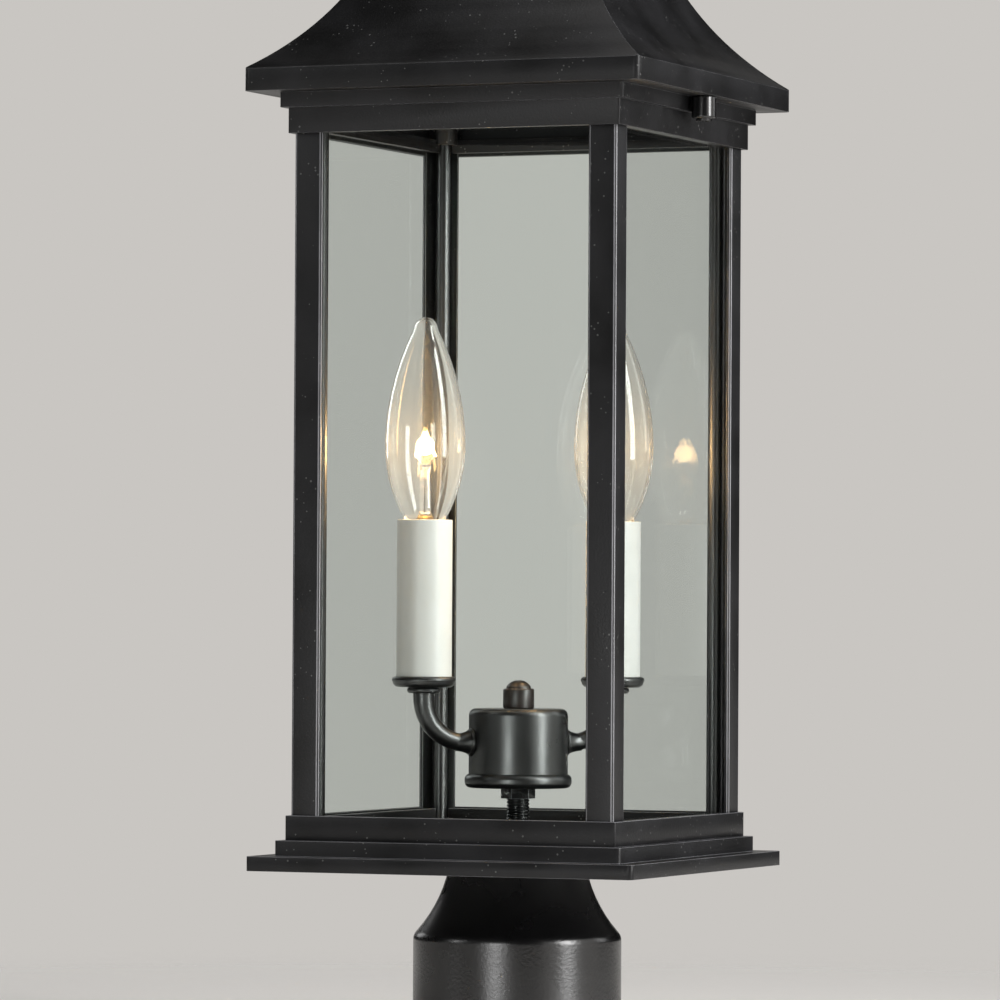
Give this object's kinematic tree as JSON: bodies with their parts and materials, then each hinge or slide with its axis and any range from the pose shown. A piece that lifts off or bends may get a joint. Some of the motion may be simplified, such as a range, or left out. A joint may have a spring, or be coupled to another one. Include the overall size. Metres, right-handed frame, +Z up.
{
  "type": "post top lantern",
  "caption": "Square black post top lantern with clear glass panes, a two-candle cluster inside and a lift-off bell-curved roof, on a round fitter for a 3 inch post.",
  "frame": {"origin": "centre of the bottom rim of the post fitter", "axes": "+Z up along the post; -Y towards the lantern's front face, +X towards its right face"},
  "size_m": [0.1762, 0.1762, 0.5377],
  "materials": {
    "black_coat": "satin fine-texture powder coat",
    "black_enamel": "semi-gloss enamel",
    "black_hardware": "black oxide, glossy",
    "steel_hardware": "zinc plated",
    "pane_glass": "clear float",
    "bulb_glass": "clear blown",
    "candle_white": "smooth",
    "socket_resin": "moulded phenolic",
    "bulb_cap": "stamped",
    "filament_wire": "drawn wire"
  },
  "bodies": {
    "lantern_frame": {"post_fitter": "black_coat", "base_pan": "black_coat", "base_frame": "black_coat", "top_frame": "black_coat", "hub_lid": "black_enamel", "hub_can": "black_enamel", "hub_knob": "black_enamel", "pan_lock_nut": "black_hardware", "hub_nut": "black_hardware", "fitter_lock_nut": "steel_hardware", "centre_nipple": "steel_hardware", "corner_post_front_right": "black_coat", "tie_tube_front_right": "black_coat", "tie_rod_front_right": "steel_hardware", "corner_post_back_right": "black_coat", "tie_tube_back_right": "black_coat", "tie_rod_back_right": "steel_hardware", "corner_post_back_left": "black_coat", "tie_tube_back_left": "black_coat", "tie_rod_back_left": "steel_hardware", "corner_post_front_left": "black_coat", "tie_tube_front_left": "black_coat", "tie_rod_front_left": "steel_hardware", "glass_front": "pane_glass", "glass_right": "pane_glass", "glass_back": "pane_glass", "glass_left": "pane_glass", "arm_left": "black_enamel", "candle_collar_left": "black_enamel", "candle_cup_left": "black_enamel", "candle_sleeve_left": "candle_white", "socket_stem_left": "steel_hardware", "lamp_socket_left": "socket_resin", "arm_right": "black_enamel", "candle_collar_right": "black_enamel", "candle_cup_right": "black_enamel", "candle_sleeve_right": "candle_white", "socket_stem_right": "steel_hardware", "lamp_socket_right": "socket_resin"},
    "roof": {"roof_shell": "black_coat", "roof_cap": "black_coat", "finial": "black_coat", "roof_stud_left": "steel_hardware", "roof_stud_right": "steel_hardware"},
    "thumb_nut_left": {"thumb_nut_left": "black_hardware"},
    "thumb_nut_right": {"thumb_nut_right": "black_hardware"},
    "bulb_left": {"bulb_glass_left": "bulb_glass", "bulb_base_left": "bulb_cap", "bulb_mount_left": "bulb_glass", "bulb_filament_left": "filament_wire"},
    "bulb_right": {"bulb_glass_right": "bulb_glass", "bulb_base_right": "bulb_cap", "bulb_mount_right": "bulb_glass", "bulb_filament_right": "filament_wire"},
    "set_screw_1": {"set_screw_1": "black_hardware"},
    "set_screw_2": {"set_screw_2": "black_hardware"},
    "set_screw_3": {"set_screw_3": "black_hardware"}
  },
  "joints": [
    {"name": "roof_lift", "type": "slide", "parent": "lantern_frame", "child": "roof", "axis": [0, 0, 1], "range_m": [0, 0.15]},
    {"name": "thumb_nut_left_turn", "type": "hinge", "parent": "lantern_frame", "child": "thumb_nut_left", "pos_m": [-0.0821, 0, 0.3952], "axis": [0, 0, 1], "continuous": true},
    {"name": "thumb_nut_right_turn", "type": "hinge", "parent": "lantern_frame", "child": "thumb_nut_right", "pos_m": [0.0821, 0, 0.3952], "axis": [0, 0, 1], "continuous": true},
    {"name": "bulb_left_out", "type": "slide", "parent": "lantern_frame", "child": "bulb_left", "axis": [0, 0, 1], "range_m": [0, 0.03]},
    {"name": "bulb_right_out", "type": "slide", "parent": "lantern_frame", "child": "bulb_right", "axis": [0, 0, 1], "range_m": [0, 0.03]},
    {"name": "set_screw_1_turn", "type": "hinge", "parent": "lantern_frame", "child": "set_screw_1", "pos_m": [0.0425, 0, 0.015], "axis": [1, 0, 0], "continuous": true},
    {"name": "set_screw_2_turn", "type": "hinge", "parent": "lantern_frame", "child": "set_screw_2", "pos_m": [-0.02125, 0.03681, 0.015], "axis": [-0.5, 0.866, 0], "continuous": true},
    {"name": "set_screw_3_turn", "type": "hinge", "parent": "lantern_frame", "child": "set_screw_3", "pos_m": [-0.02125, -0.03681, 0.015], "axis": [-0.5, -0.866, 0], "continuous": true}
  ]
}
